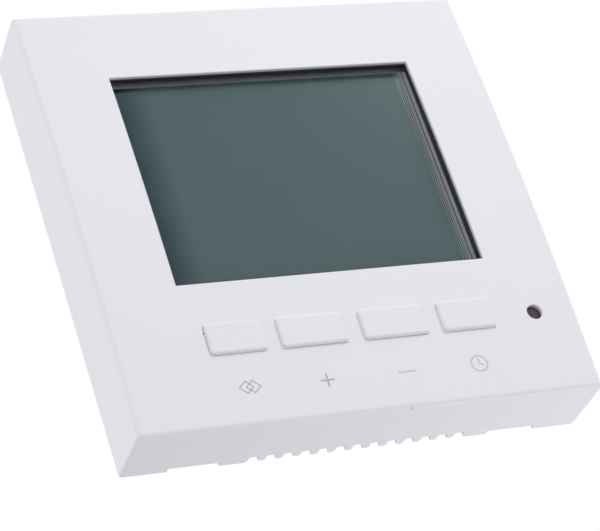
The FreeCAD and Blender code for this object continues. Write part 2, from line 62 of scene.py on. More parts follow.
# Faceplate
cover_low, cover_high = box_mm("front_cover")
HAIR = 0.005                        # keeps the model just inside the CAD's box
HALF_X, HALF_Z = cover_high.x - HAIR, cover_high.z - HAIR
BOW = 1.25                          # how far the middle of the face stands out beyond its edges
FACE_Y = cover_low.y + BOW          # the face before it is bowed
REAR_INSET, REAR_CHAMFER = 0.25, 0.15
CORNER_R = 0.6
FRONT_EDGE_R = 0.9
WALL = 2.0
CAVITY_HALF, CAVITY_R, CAVITY_FLOOR_R = 40.9, 0.8, 0.6
DIMPLE_X, DIMPLE_SET_BACK, DIMPLE_R, DIMPLE_DEPTH = 6.2, 0.5, 0.32, 0.3

# Inside of the cover. A root or roof is a distance behind the face.
POST_INSET, POST_R, POST_ROOT = 2.5, 2.4, 1.0
RIB_HALF, RIB_GAP, RIB_ROOT, RIB_END_Y = 2.5, 0.9, 1.2, -2.6
CATCH_GAP, CATCH_Y = 0.1, (-4.0, -2.65)
POCKET_GAP, POCKET_R, POCKET_ROOF = 0.2, 0.6, 1.05

# Openings in the face
BEZEL_BORDER = 2.45
WINDOW_SHIFTS = (0.15, 0.02)        # its left and right edges sit this far left of the CAD's
WINDOW_R, WINDOW_LIP = 0.15, 0.18
CUT_END_Y = -8.0
KEY_NAMES = ("menu", "plus", "minus", "clock")
KEY_FLANGE = 0.8
KEY_FLANGE_Y = (-11.7, -10.95)
KEY_GAP = 0.015
KEY_FOOT_GAP = 0.05
FIRST_KEY_GAP = 0.07
KEY_R, KEY_LIP = 0.65, 0.035
KEY_PROUD = 0.59
KEY_TRIM_LEFT, KEY_TRIM_RIGHT = {"menu": 0.4}, {"clock": 0.65}     # narrower than the CAD's
KEY_EDGE_R = 0.5
LENS_DEPTH = 0.5
LENS_R, LENS_GAP, LENS_LIP = 1.38, 0.05, 0.12
RELIEF_R, RELIEF_DEPTH = 0.2, 0.4
RELIEF_AT_FIRST = (-0.05, -1.6)     # from the upper left corner of the first key
RELIEF_AT_LAST = (-0.1, 0.15)       # from the lower right corner of the last key

# Rear edge of the top and bottom walls
VENT_COUNT, VENT_PITCH, VENT_GAP, VENT_DEPTH = 13, 3.22, 1.85, 1.9
VENT_SHIFT = 0.15
TOOTH_SET_BACK = 0.34
TOOTH_R = 0.45
COMB_HALF = 20.6
RECESS_SPAN, RECESS_DEPTH = (25.1, 34.4), 1.25

# Marks under the keys: places (x, z), spans (x0, x1, z0, z1)
PRINT_HEIGHT, PRINT_ROOT = 0.02, 0.1
SQUARES_AT = ((-22.15, -35.95), (-20.85, -35.95))
SQUARE_OUTER, SQUARE_INNER = (1.42, 1.27), (1.14, 1.01)
PLUS_UPRIGHT, PLUS_LEVEL = (-7.7, -7.4, -37.45, -34.95), (-8.8, -6.3, -36.35, -36.05)
MINUS_SPAN = (5.55, 8.95, -36.35, -36.05)
DIAL_AT, DIAL_OUTER_R, DIAL_INNER_R = (21.0, -36.1), 1.65, 1.33
DIAL_HANDS, HAND_WIDTH = [(21.0, -35.1), (21.0, -36.15), (21.75, -36.5)], 0.26

# Display
LINING_GAP, LINING_R, LINING_WALL = 0.04, 0.15, 0.2
LINING_Y = (0.55, 1.6)              # behind the face
TRAY_Y, TRAY_FLOOR_Y, TRAY_WALL = -13.0, -12.7, 1.2
SIDE_SEAL, FOOT_SEAL = 1.3, 1.65
# grey strip at the panel's head: border print whose tone is painted lighter to lift the shade under
# the collar
HEAD_BORDER_PAINTED_LIGHT = (-0.8, 1.0)           # from the window's upper edge
LINE_HEIGHT, LINE_FOOT, LINE_HEAD = 0.02, 1.7, 0.6
# grey strip by the right edge, painted lighter to lift the collar's shade there
BORDER_LINE_PAINTED_LIGHT = (0.45, 0.36)          # distance in from the window's right edge, width
# bright strip painted as a glint on the panel's right edge
PAINTED_GLINT_LINE = (-0.12, 0.75)
CONDUCTORS = ((0.86, 0.46), (1.35, 0.16), (1.7, 0.1), (2.1, 0.06))

# Logic board
BOARD_R = 1.5
TRACK_WIDTH, TRACK_Y = 0.42, (-0.2, 0.03)
SOCKET_WAYS, SOCKET_PITCH = 7, 2.54
LEADS, LEAD_PITCH = 11, 0.8
LEAD_PARTS = (                      # reach from the middle, height over the board, half width
    ((4.6, 5.7), (0.5, 0.65), 0.16),
    ((5.55, 6.1), (-0.05, 0.66), 0.17),
)

# Wall side
SLOT_X, SLOT_R, SLOT_REACH = 30.0, 2.1, 1.4
TAB_X, TAB_HALF, TAB_T, BEND_R = 15.0, 3.0, 0.8, 1.2
TAB_WINDOW_HALF, TAB_WINDOW_Y = 2.7, (-4.2, -2.4)
PLATE_T = 1.2
PANEL_R = 2.0                       # corners of the plate, the lid and the rear body
SPIGOT_HALF = 18.5
LID_SCREW_AT, LID_HOLE_R = 21.0, 1.25
HOUSING_WALL = 1.6
BAY_Z, BAY_Y = -12.5, 16.0
BOSS_R, BOSS_BORE_R = 2.8, 1.05
LABEL_SPAN = (-18.0, 18.0, -6.5, 17.5)
GRIP_COUNT, GRIP_FIRST_Y, GRIP_PITCH, GRIP_WIDTH, GRIP_DEPTH = 7, 4.0, 2.6, 1.1, 0.45
TERMINALS, TERMINAL_PITCH = 6, 7.4
WIRE_R, WIRE_Y = 1.7, 18.2
CLAMP_Z, CLAMP_HALF = -18.0, 2.6
GROOVE_HALF = 0.2
HEAD_HEIGHT, RECESS_OF_HEAD = 1.2, 0.55
PIN_HALF, PIN_COLUMNS, PIN_ROWS, PIN_TAPER = 0.32, 7, 2, 0.5
THROUGH = (-5.0, 5.0)               # y of cutters that go right through plate and lid


# -------------------- outlines and skins

def outline(half_x, half_z, radius, cx=0.0, cz=0.0, steps=8):
    """Points of a rounded rectangle, going round once."""
    points = []
    for k, (sx, sz) in enumerate(((1, 1), (-1, 1), (-1, -1), (1, -1))):
        for i in range(steps + 1):
            a = math.pi / 2 * (k + i / steps)
            x = cx + sx * (half_x - radius) + radius * math.cos(a)
            z = cz + sz * (half_z - radius) + radius * math.sin(a)
            points.append((x, z))
    return points


def circle(radius, cx=0.0, cz=0.0, steps=40):
    """Points of a circle."""
    turn = 2 * math.pi / steps
    angles = [i * turn for i in range(steps)]
    return [(cx + radius * math.cos(a), cz + radius * math.sin(a)) for a in angles]


def quarter(steps):
    """(sine, cosine) of the even steps of a quarter turn."""
    angles = [math.pi / 2 * i / steps for i in range(steps + 1)]
    return [(math.sin(a), math.cos(a)) for a in angles]


def corners(reach):
    """Four places, equally far out along x and z."""
    return [(sx * reach, sz * reach) for sx in SIDES for sz in SIDES]


def mirrored(side, near, far):
    """A stretch from near to far on one side (1 or -1), lowest end first."""
    return sorted((side * near, side * far))


def face_span(low, high):
    """The x and z extent (x0, x1, z0, z1) of a box."""
    return low.x, high.x, low.z, high.z


def inset_span(span, by):
    """The span with every side moved in."""
    x0, x1, z0, z1 = span
    return x0 + by, x1 - by, z0 + by, z1 - by


def ribbon(path, width):
    """Outline of a strip of even width along a path of points."""
    left, right = [], []
    for i, here in enumerate(path):
        before = Vector(path[max(i - 1, 0)])
        after = Vector(path[min(i + 1, len(path) - 1)])
        spot = Vector(here)
        steps = [v.normalized() for v in (spot - before, after - spot) if v.length > 0]
        along = sum(steps, Vector((0, 0))).normalized()
        across = Vector((-along.y, along.x))
        reach = width / 2 / max(across.dot(Vector((-steps[0].y, steps[0].x))), 0.3)
        left.append(tuple(spot + across * reach))
        right.append(tuple(spot - across * reach))
    return left + right[::-1]


AXIS_ORDER = {
    "x": lambda t, p: (t, p[0], p[1]),
    "y": lambda t, p: (p[0], t, p[1]),
    "z": lambda t, p: (p[0], p[1], t),
}


def skin_into(bm, rings, axis):
    """Closed skin through rings of equal length, each (place along axis, points)."""
    at = AXIS_ORDER[axis]
    rows = [[bm.verts.new(at(t, p)) for p in points] for t, points in rings]
    count = len(rows[0])
    for low, high in zip(rows, rows[1:]):
        for i in range(count):
            j = (i + 1) % count
            bm.faces.new((low[i], low[j], high[j], high[i]))
    bm.faces.new(rows[0])
    bm.faces.new(rows[-1])


def to_mesh(bm):
    """Turns bm into a mesh whose faces point outwards."""
    bmesh.ops.recalc_face_normals(bm, faces=bm.faces)
    mesh = bpy.data.meshes.new("mesh")
    bm.to_mesh(mesh)
    bm.free()
    return mesh


def loft(*skins, axis="y"):
    """Mesh of one or more closed skins."""
    bm = bmesh.new()
    for rings in skins:
        skin_into(bm, rings, axis)
    return to_mesh(bm)


def bands(pairs, y0, y1):
    """Mesh of flat rings, each between an outer and an inner outline of equal length."""
    bm = bmesh.new()
    for outer, inner in pairs:
        rows = [
            [bm.verts.new((x, y, z)) for x, z in points]
            for y, points in ((y0, outer), (y0, inner), (y1, inner), (y1, outer))
        ]
        count = len(outer)
        for a, b in zip(rows, rows[1:] + rows[:1]):
            for i in range(count):
                j = (i + 1) % count
                bm.faces.new((a[i], a[j], b[j], b[i]))
    return to_mesh(bm)


def prism(points, t0, t1):
    """Rings of a straight skin from t0 to t1."""
    return [(t0, points), (t1, points)]


def block(x0, x1, y0, y1, z0, z1):
    """Rings of a block, for a skin along y."""
    return prism([(x0, z0), (x1, z0), (x1, z1), (x0, z1)], y0, y1)


def slab(span, y0, y1):
    """Rings of a block over span (x0, x1, z0, z1)."""
    x0, x1, z0, z1 = span
    return block(x0, x1, y0, y1, z0, z1)


def soft_ends(shape, t0, t1, r0, r1):
    """Rings from t0 to t1 with ends rounded by r0 and r1. shape(inset) gives the outline."""
    arc = quarter(4)
    rings = []
    for s, c in arc if r0 else arc[:1]:
        rings.append((t0 + r0 * (1 - c), shape(r0 * (1 - s))))
    for s, c in arc if r1 else arc[:1]:
        rings.append((t1 - r1 * (1 - s), shape(r1 * (1 - c))))
    return rings


def rounded_block(span, y0, y1, r, front=0.0, rear=0.0):
    """Rings of a block over span (x0, x1, z0, z1) with rounded corners and softened ends."""
    return soft_ends(lambda inset: grown(span, r)(-inset), y0, y1, front, rear)


def disc(radius, cx, cz, y0, y1, front=0.0, rear=0.0, steps=32):
    """Rings of a round peg with softened ends."""
    return soft_ends(lambda inset: circle(radius - inset, cx, cz, steps), y0, y1, front, rear)


def grown(span, radius):
    """Outline of a span (x0, x1, z0, z1) as a function of how far it is grown."""
    x0, x1, z0, z1 = span
    half_x, half_z = (x1 - x0) / 2, (z1 - z0) / 2
    cx, cz = (x0 + x1) / 2, (z0 + z1) / 2

    def shape(grow):
        return outline(half_x + grow, half_z + grow, max(radius + grow, 0.02), cx, cz)
    return shape


def flared(shape, lip, y_face, y_deep):
    """Rings of a cutter whose mouth at y_face opens out by a rounded lip."""
    rings = [(y_deep, shape(0.0))]
    steps = 5
    turn = math.radians(84)         # short of a quarter turn, so that the lip ends in a clean edge
    for i in range(steps + 1):
        a = turn * i / steps
        rings.append((y_face + lip * (1 - math.sin(a)), shape(lip * (1 - math.cos(a)))))
    rings.append((y_face - 3 * lip - 0.5, shape(lip)))
    return rings


# -------------------- objects

def piece(name, data):
    """A new object in the scene, from a mesh, a camera or a light."""
    obj = bpy.data.objects.new(name, data)
    bpy.context.scene.collection.objects.link(obj)
    return obj


def applied(obj):
    """Turns obj's modifiers into its mesh."""
    graph = bpy.context.evaluated_depsgraph_get()
    mesh = bpy.data.meshes.new_from_object(obj.evaluated_get(graph))
    obj.modifiers.clear()
    obj.data = mesh
    return obj


def boolean(obj, mesh, operation="DIFFERENCE"):
    """Cuts mesh out of obj, or joins it on."""
    tool = piece("tool", mesh)
    mod = obj.modifiers.new("cut", "BOOLEAN")
    mod.operation = operation
    mod.solver = "EXACT"
    mod.use_self = True
    mod.object = tool
    applied(obj)
    bpy.data.objects.remove(tool)


def soften(obj, width, angle=40, segments=2):
    """Rounds every edge sharper than angle."""
    mod = obj.modifiers.new("bevel", "BEVEL")
    mod.width = width
    mod.segments = segments
    mod.limit_method = "ANGLE"
    mod.angle_limit = math.radians(angle)
    mod.miter_outer = "MITER_ARC"
    return applied(obj)


def bow_at(z):
    """How far the bowed face stands out at height z."""
    return BOW * (1 - (z / HALF_Z) ** 2)


def bow(obj, whole=False, strip=2.5):
    """Slices the flat mesh into strips and bends it. whole moves every point as far as the face."""
    bm = bmesh.new()
    bm.from_mesh(obj.data)
    zs = [v.co.z for v in bm.verts]
    z = (math.floor(min(zs) / strip) + 1) * strip
    level = (0, 0, 1)
    while z < max(zs):
        everything = bm.verts[:] + bm.edges[:] + bm.faces[:]
        bmesh.ops.bisect_plane(bm, geom=everything, plane_co=(0, 0, z), plane_no=level, dist=1e-5)
        z += strip
    for v in bm.verts:
        share = 1.0 if whole else min(max(v.co.y / FACE_Y, 0.0), 1.0)
        v.co.y -= share * bow_at(v.co.z)
    bm.to_mesh(obj.data)
    bm.free()


def finish_mesh(obj):
    """Metres, smooth shading with crisp edges and area-weighted normals."""
    bm = bmesh.new()
    bm.from_mesh(obj.data)
    bmesh.ops.remove_doubles(bm, verts=bm.verts, dist=2e-5)
    bmesh.ops.dissolve_degenerate(bm, edges=bm.edges, dist=1e-5)
    bm.to_mesh(obj.data)
    bm.free()
    obj.data.transform(Matrix.Scale(MM, 4))
    for polygon in obj.data.polygons:
        polygon.use_smooth = True
    obj.data.set_sharp_from_angle(angle=math.radians(CREASE_ANGLE))
    mod = obj.modifiers.new("normals", "WEIGHTED_NORMAL")
    mod.keep_sharp = True
    mod.weight = 60
    applied(obj)


def place(obj, look, body, *nodes):
    """Finishes a piece, dresses it and ties it to the frame. look is (material, slot); its slot is
    not used.
    """
    finish_mesh(obj)
    material, slot = look
    obj.data.materials.clear()
    obj.data.materials.append(material)
    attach(obj, body)
    if nodes:
        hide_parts(*nodes)


# -------------------- materials

def shader(name, color, roughness, metallic=0.0):
    """Principled material with plain values, and its shader node."""
    mat = bpy.data.materials.new(name)
    mat.use_nodes = True
    bsdf = mat.node_tree.nodes["Principled BSDF"]
    bsdf.inputs["Base Color"].default_value = (*color, 1)
    bsdf.inputs["Roughness"].default_value = roughness
    bsdf.inputs["Metallic"].default_value = metallic
    return mat, bsdf


def node(mat, kind, **settings):
    """A new shader node in mat."""
    made = mat.node_tree.nodes.new(kind)
    for key, value in settings.items():
        setattr(made, key, value)
    return made


def link(mat, source, target):
    mat.node_tree.links.new(source, target)


def position(mat, stretch=(1, 1, 1)):
    """Object coordinates, stretched along each axis."""
    where = node(mat, "ShaderNodeTexCoord")
    mapping = node(mat, "ShaderNodeMapping")
    mapping.inputs["Scale"].default_value = stretch
    link(mat, where.outputs["Object"], mapping.inputs["Vector"])
    return mapping.outputs["Vector"]


def noise(mat, size, detail, rough=0.5, stretch=(1, 1, 1)):
    """Noise whose blotches are about size millimetres across."""
    made = node(mat, "ShaderNodeTexNoise")
    made.inputs["Scale"].default_value = 1 / (size * MM)
    made.inputs["Detail"].default_value = detail
    made.inputs["Roughness"].default_value = rough
    link(mat, position(mat, stretch), made.inputs["Vector"])
    return made.outputs["Fac"]


def spread(mat, source, low, high, start=0.3, end=0.7):
    """Value from low to high as source goes from start to end."""
    ramp = node(mat, "ShaderNodeMapRange")
    ramp.inputs["From Min"].default_value = start
    ramp.inputs["From Max"].default_value = end
    ramp.inputs["To Min"].default_value = low
    ramp.inputs["To Max"].default_value = high
    link(mat, source, ramp.inputs["Value"])
    return ramp.outputs["Result"]


def tint(mat, bsdf, source, first, second):
    """Base colour between two colours by source."""
    mix = node(mat, "ShaderNodeMix", data_type="RGBA")
    mix.inputs["A"].default_value = (*first, 1)
    mix.inputs["B"].default_value = (*second, 1)
    link(mat, source, mix.inputs["Factor"])
    link(mat, mix.outputs["Result"], bsdf.inputs["Base Color"])


def bump(mat, bsdf, source, depth, strength):
    """Relief of depth millimetres."""
    made = node(mat, "ShaderNodeBump")
    made.inputs["Distance"].default_value = depth * MM
    made.inputs["Strength"].default_value = strength
    link(mat, source, made.inputs["Height"])
    link(mat, made.outputs["Normal"], bsdf.inputs["Normal"])


def darker(color, share):
    return tuple(c * share for c in color)


def moulded(name, color, grain=0.25, depth=0.006, roughness=(0.46, 0.54), shade=0.985, gloss=0.5):
    """Moulded plastic: fine eroded grain, with a slow drift of colour and gloss."""
    mat, bsdf = shader(name, color, roughness[1])
    bsdf.inputs["Specular IOR Level"].default_value = gloss
    slow = noise(mat, 40, 2.0)
    tint(mat, bsdf, slow, color, darker(color, shade))
    link(mat, spread(mat, slow, *roughness), bsdf.inputs["Roughness"])
    bump(mat, bsdf, noise(mat, grain, 2.0, 0.6), depth, 0.6)
    return mat


def metal(name, color, roughness, stretch=(1, 1, 1), grain=0.6):
    """Bare or plated metal with drawn or rolled streaks."""
    mat, bsdf = shader(name, color, roughness[1], 1.0)
    streaks = noise(mat, grain, 4.0, 0.6, stretch)
    tint(mat, bsdf, noise(mat, 9, 3.0), color, darker(color, 0.88))
    link(mat, spread(mat, streaks, *roughness), bsdf.inputs["Roughness"])
    bump(mat, bsdf, streaks, 0.003, 0.5)
    return mat


def board_material():
    """Green solder mask with a weave under it."""
    mask, shade = (0.012, 0.12, 0.05), (0.010, 0.105, 0.043)
    mat, bsdf = shader("solder_mask", mask, 0.35)
    bsdf.inputs["Coat Weight"].default_value = 0.3
    bsdf.inputs["Coat Roughness"].default_value = 0.15
    weave = node(mat, "ShaderNodeTexChecker")
    weave.inputs["Scale"].default_value = 1 / (0.5 * MM)
    link(mat, position(mat), weave.inputs["Vector"])
    tint(mat, bsdf, weave.outputs["Fac"], mask, shade)
    bump(mat, bsdf, noise(mat, 0.4, 2.0), 0.004, 0.4)
    return mat


def pane_material():
    """Clear acrylic that lets lamp light through to the display.

    It barely reflects: the display behind it carries the sheen, which keeps the render quiet.
    """
    mat, bsdf = shader("clear_acrylic", (0.96, 0.985, 0.98), 0.01)
    bsdf.inputs["IOR"].default_value = 1.05
    bsdf.inputs["Transmission Weight"].default_value = 1.0
    path = node(mat, "ShaderNodeLightPath")
    clear = node(mat, "ShaderNodeBsdfTransparent")
    clear.inputs["Color"].default_value = (0.94, 0.97, 0.965, 1)
    mix = node(mat, "ShaderNodeMixShader")
    link(mat, path.outputs["Is Shadow Ray"], mix.inputs[0])
    link(mat, bsdf.outputs[0], mix.inputs[1])
    link(mat, clear.outputs[0], mix.inputs[2])
    link(mat, mix.outputs[0], mat.node_tree.nodes["Material Output"].inputs["Surface"])
    return mat


def larger(mat, first, second):
    """The larger of two values."""
    made = node(mat, "ShaderNodeMath", operation="MAXIMUM")
    link(mat, first, made.inputs[0])
    link(mat, second, made.inputs[1])
    return made.outputs[0]


def lcd_material(field, shade):
    """Switched-off reflective display: grey-green field, darker towards its foot, and towards its
    left with painted shade of the window's collar.
    """
    mat, bsdf = shader("lcd_field", field, 0.1)
    bsdf.inputs["Specular IOR Level"].default_value = 0.4
    axes = node(mat, "ShaderNodeSeparateXYZ")
    link(mat, position(mat), axes.inputs["Vector"])
    turn_x = -21.5 * MM             # where the slow drift gives way to the painted shade along the left edge
    foot = spread(mat, axes.outputs["Z"], 0, 0.22, 8 * MM, -12 * MM)
    # painted shade: towards the left edge the field darkens to the shade colour, as if shaded by
    # the window's collar
    left = spread(mat, axes.outputs["X"], 0.2, 1, turn_x, -28.0 * MM)
    drift = spread(mat, axes.outputs["X"], 0, 0.22, 12 * MM, turn_x)
    drift_and_painted_shade = larger(mat, foot, larger(mat, left, drift))
    tint(mat, bsdf, drift_and_painted_shade, field, shade)
    return mat


def lens_material():
    """Nearly black red plastic."""
    mat, bsdf = shader("dark_red_lens", (0.02, 0.008, 0.012), 0.3)
    bsdf.inputs["Specular IOR Level"].default_value = 0.2
    tint(mat, bsdf, noise(mat, 0.8, 2.0), (0.030, 0.018, 0.026), (0.085, 0.045, 0.055))
    return mat


def printed(name, color):
    """Look of a fine print on the edge of the display, also worn by the painted glint and the
    border strips painted lighter.
    """
    return moulded(name, color, 0.1, 0.001, (0.3, 0.4)), "lcd_glass"


SHELL_COLOR = (0.782, 0.786, 0.832)
WHITE = (moulded("white_abs", SHELL_COLOR, gloss=0.4), "white_shell")
KEY_WHITE = (moulded("key_white", SHELL_COLOR, gloss=0.4), "white_keys")
PRINT_DARK = (moulded("print_grey", (0.42, 0.42, 0.47), 0.1, 0.001), "white_shell")
PRINT_PALE = (moulded("print_pale", (0.57, 0.575, 0.615), 0.1, 0.001), "white_shell")
BLACK = (moulded("black_frame", (0.026, 0.026, 0.032), 0.2, roughness=(0.35, 0.5)), "black_plastic")
LENS = (lens_material(), "dark_lens")
PANE = (pane_material(), "clear_pane")
# the second colour is the darker tone of the field's foot and left; along the left it is painted
# shade
LCD = (lcd_material((0.077, 0.120, 0.128), (0.006, 0.028, 0.044)), "lcd_glass")
TRACE = printed("lcd_traces", (0.43, 0.44, 0.48))
# grey border print, its tone painted lighter to lift the shade under the collar
BORDER_WITH_PAINTED_LIGHT = printed("lcd_border_painted_light", (0.22, 0.22, 0.245))
# painted glint: a bright strip standing in for light caught on the panel's right edge
GLINT = printed("lcd_edge_painted_glint", (0.85, 0.86, 0.9))
SEAL = printed("lcd_seal", (0.012, 0.016, 0.026))
BOARD = (board_material(), "circuit_board")
TRACKS = (
    moulded("masked_copper", (0.02, 0.19, 0.08), 0.3, 0.003, (0.3, 0.38), 0.9),
    "circuit_board",
)
SOLDER = (metal("solder", (0.66, 0.66, 0.68), (0.22, 0.36)), "zinc_steel")
ZINC = (metal("zinc", (0.70, 0.71, 0.73), (0.24, 0.4), (1, 1, 1), 0.4), "zinc_steel")
PLATE = (metal("rolled_zinc", (0.60, 0.61, 0.63), (0.34, 0.5), (1, 1, 0.06), 0.5), "plate_steel")
PIN_BRASS = (metal("pin_brass", (0.80, 0.63, 0.33), (0.2, 0.32)), "pin_brass")
BRASS = (metal("brass", (0.76, 0.58, 0.28), (0.25, 0.4)), "clamp_brass")
CHIP = (moulded("chip_epoxy", (0.018, 0.018, 0.020), 0.15, 0.004, (0.45, 0.6)), "chip_black")
HOUSING = (moulded("housing_abs", (0.74, 0.745, 0.75), 0.35, 0.010, (0.5, 0.6)), "base_plastic")
LABEL = (moulded("label_paper", (0.62, 0.63, 0.645), 0.12, 0.002, (0.55, 0.65)), "base_plastic")
TERMINAL = (
    moulded("terminal_pa", (0.015, 0.20, 0.085), 0.3, 0.006, (0.4, 0.5), 0.93),
    "terminal_plastic",
)
CERAMIC = (moulded("capacitor_ceramic", (0.42, 0.30, 0.20), 0.2, 0.003), "chip_black")


# -------------------- front cover

bezel_low, bezel_high = box_mm("display_bezel")
WINDOW = (
    bezel_low.x + BEZEL_BORDER - WINDOW_SHIFTS[0], bezel_high.x - BEZEL_BORDER - WINDOW_SHIFTS[1],
    bezel_low.z + BEZEL_BORDER, bezel_high.z - BEZEL_BORDER,
)
lens_low, lens_high = box_mm("indicator_lens")
LENS_AT = ((lens_low.x + lens_high.x) / 2, (lens_low.z + lens_high.z) / 2)


def key_span(name):
    """The opening of a key in the cover."""
    low, high = box_mm("key_" + name)
    x0, x1, z0, z1 = inset_span(face_span(low, high), KEY_FLANGE)
    return x0 + KEY_TRIM_LEFT.get(name, 0), x1 - KEY_TRIM_RIGHT.get(name, 0), z0, z1


def cover_skin():
    """Outer shape: tapered sides, rounded corners and a rolled front edge."""
    x, z, cut = HALF_X - REAR_INSET, HALF_Z - REAR_INSET, REAR_CHAMFER
    rings = [
        (0.0, outline(x - cut, z - cut, CORNER_R - cut)),
        (-cut, outline(x, z, CORNER_R)),
    ]
    for s, c in quarter(8):
        inset = FRONT_EDGE_R * (1 - c)
        y = FACE_Y + FRONT_EDGE_R * (1 - s)
        rings.append((y, outline(HALF_X - inset, HALF_Z - inset, max(CORNER_R - inset, 0.1))))
    return rings


def vent_outline(x):
    """Plan of one vent gap: rounded at its root, with rounded teeth beside its mouth."""
    half, tip = VENT_GAP / 2, -TOOTH_SET_BACK
    points = []
    for side in SIDES:
        arc = [(x + side * (half + TOOTH_R), 1.0)]
        for s, c in quarter(4):
            out = half + TOOTH_R * (1 - s)
            arc.append((x + side * out, tip - TOOTH_R * (1 - c)))
        for s, c in quarter(4):
            out = half - TOOTH_R * (1 - c)
            arc.append((x + side * out, -VENT_DEPTH + TOOTH_R * (1 - s)))
        points += arc if side < 0 else arc[::-1]
    return points


def rim_cutters(side):
    """Vent gaps and relieved stretches in the rear edge of the top (1) or bottom (-1) wall."""
    z0, z1 = mirrored(side, CAVITY_HALF - 1, HALF_Z + 1)
    spans = [(VENT_SHIFT - COMB_HALF, VENT_SHIFT + COMB_HALF, TOOTH_SET_BACK)]
    spans += [(*mirrored(hand, *RECESS_SPAN), RECESS_DEPTH) for hand in SIDES]
    skins = [prism([(x0, -d), (x1, -d), (x1, 1.1), (x0, 1.1)], z0, z1) for x0, x1, d in spans]
    for i in range(VENT_COUNT):
        x = VENT_SHIFT + (i - (VENT_COUNT - 1) / 2) * VENT_PITCH
        skins.append(prism(vent_outline(x), z0 - 0.1, z1 + 0.1))
    return loft(*skins, axis="z")


def face_cutters():
    """Window, keys and indicator, each with a softly rounded lip."""
    def lens_hole(grow):
        return circle(LENS_R + LENS_GAP + grow, *LENS_AT, 36)
    shapes = [(grown(WINDOW, WINDOW_R), WINDOW_LIP)]
    shapes += [(grown(key_span(name), KEY_R), KEY_LIP) for name in KEY_NAMES]
    shapes.append((lens_hole, LENS_LIP))
    return loft(*(flared(shape, lip, FACE_Y, CUT_END_Y) for shape, lip in shapes))


def relief_cutters():
    """Two small relief holes beside the outer keys."""
    x0, _, _, z1 = key_span(KEY_NAMES[0])
    _, x1, z0, _ = key_span(KEY_NAMES[-1])
    (first_x, first_z), (last_x, last_z) = RELIEF_AT_FIRST, RELIEF_AT_LAST
    places = ((x0 + first_x, z1 + first_z), (x1 + last_x, z0 + last_z))
    y0, y1 = FACE_Y - 1, FACE_Y + RELIEF_DEPTH
    return loft(*(disc(RELIEF_R, x, z, y0, y1, steps=16) for x, z in places))


def board_post_places():
    """Places of the four posts that carry the logic board."""
    _, high = box_mm("logic_board")
    return corners(high.x - POST_INSET)


def inner_fittings():
    """Board posts and snap ribs on the inside of the cover."""
    board_low, _ = box_mm("logic_board")
    y0, y1 = FACE_Y + POST_ROOT, board_low.y
    skins = [disc(POST_R, x, z, y0, y1, steps=24) for x, z in board_post_places()]
    _, tab_high = box_mm("mounting_plate")
    for side in SIDES:
        for hand in SIDES:
            x0, x1 = hand * TAB_X - RIB_HALF, hand * TAB_X + RIB_HALF
            z0, z1 = mirrored(side, tab_high.z + RIB_GAP, CAVITY_HALF + 0.5)
            skins.append(block(x0, x1, FACE_Y + RIB_ROOT, RIB_END_Y, z0, z1))
            z0, z1 = mirrored(side, tab_high.z + CATCH_GAP, CAVITY_HALF + 0.4)
            skins.append(block(x0 + 0.1, x1 - 0.1, *CATCH_Y, z0, z1))
    return loft(*skins)


def make_cover():
    """White shell with its openings, vent combs and inner fittings."""
    shell = piece("cover_shell", loft(cover_skin()))
    cavity = (-CAVITY_HALF, CAVITY_HALF, -CAVITY_HALF, CAVITY_HALF)
    floor_y = FACE_Y + WALL
    boolean(shell, loft(rounded_block(cavity, floor_y, 2.0, CAVITY_R, front=CAVITY_FLOOR_R)))
    pocket = grown(inset_span(face_span(bezel_low, bezel_high), -POCKET_GAP), POCKET_R)(0.0)
    boolean(shell, loft(prism(pocket, FACE_Y + POCKET_ROOF, -9)))
    boolean(shell, face_cutters())
    boolean(shell, relief_cutters())
    dimple = circle(DIMPLE_R, DIMPLE_X, FACE_Y + DIMPLE_SET_BACK, 16)
    boolean(shell, loft(prism(dimple, -HALF_Z - 1, -HALF_Z + DIMPLE_DEPTH), axis="z"))
    for side in SIDES:
        boolean(shell, rim_cutters(side))
    boolean(shell, inner_fittings(), "UNION")
    soften(shell, 0.1)
    bow(shell)
    place(shell, WHITE, FRONT, "front_cover")


# -------------------- keys, marks, indicator

def make_key(name):
    """Key cap with a soft front edge, proud of the face, and the flange behind the cover."""
    x0, x1, z0, z1 = key_span(name)
    left_gap = FIRST_KEY_GAP if name == KEY_NAMES[0] else KEY_GAP
    span = (x0 + left_gap, x1 - KEY_GAP, z0 + KEY_FOOT_GAP, z1 - KEY_GAP)
    cap = rounded_block(span, FACE_Y - KEY_PROUD, -10.0, KEY_R - KEY_GAP, front=KEY_EDGE_R)
    key = piece("cap_" + name, loft(cap))
    bow(key, whole=True)
    low, high = box_mm("key_" + name)
    boolean(key, loft(block(low.x, high.x, *KEY_FLANGE_Y, low.z, high.z)), "UNION")
    boolean(key, loft(block(low.x - 1, high.x + 1, KEY_FLANGE_Y[1], 0, low.z - 1, high.z + 1)))
    place(key, KEY_WHITE, name + "_key", "key_" + name)


def make_mark(name, mesh, look):
    """Print that follows the bowed face."""
    mark = piece(name, mesh)
    bow(mark, whole=True, strip=0.4)
    place(mark, look, FRONT)


def diamond(cx, cz, half_x, half_z):
    """Points of a square standing on its corner."""
    return [(cx + half_x, cz), (cx, cz + half_z), (cx - half_x, cz), (cx, cz - half_z)]


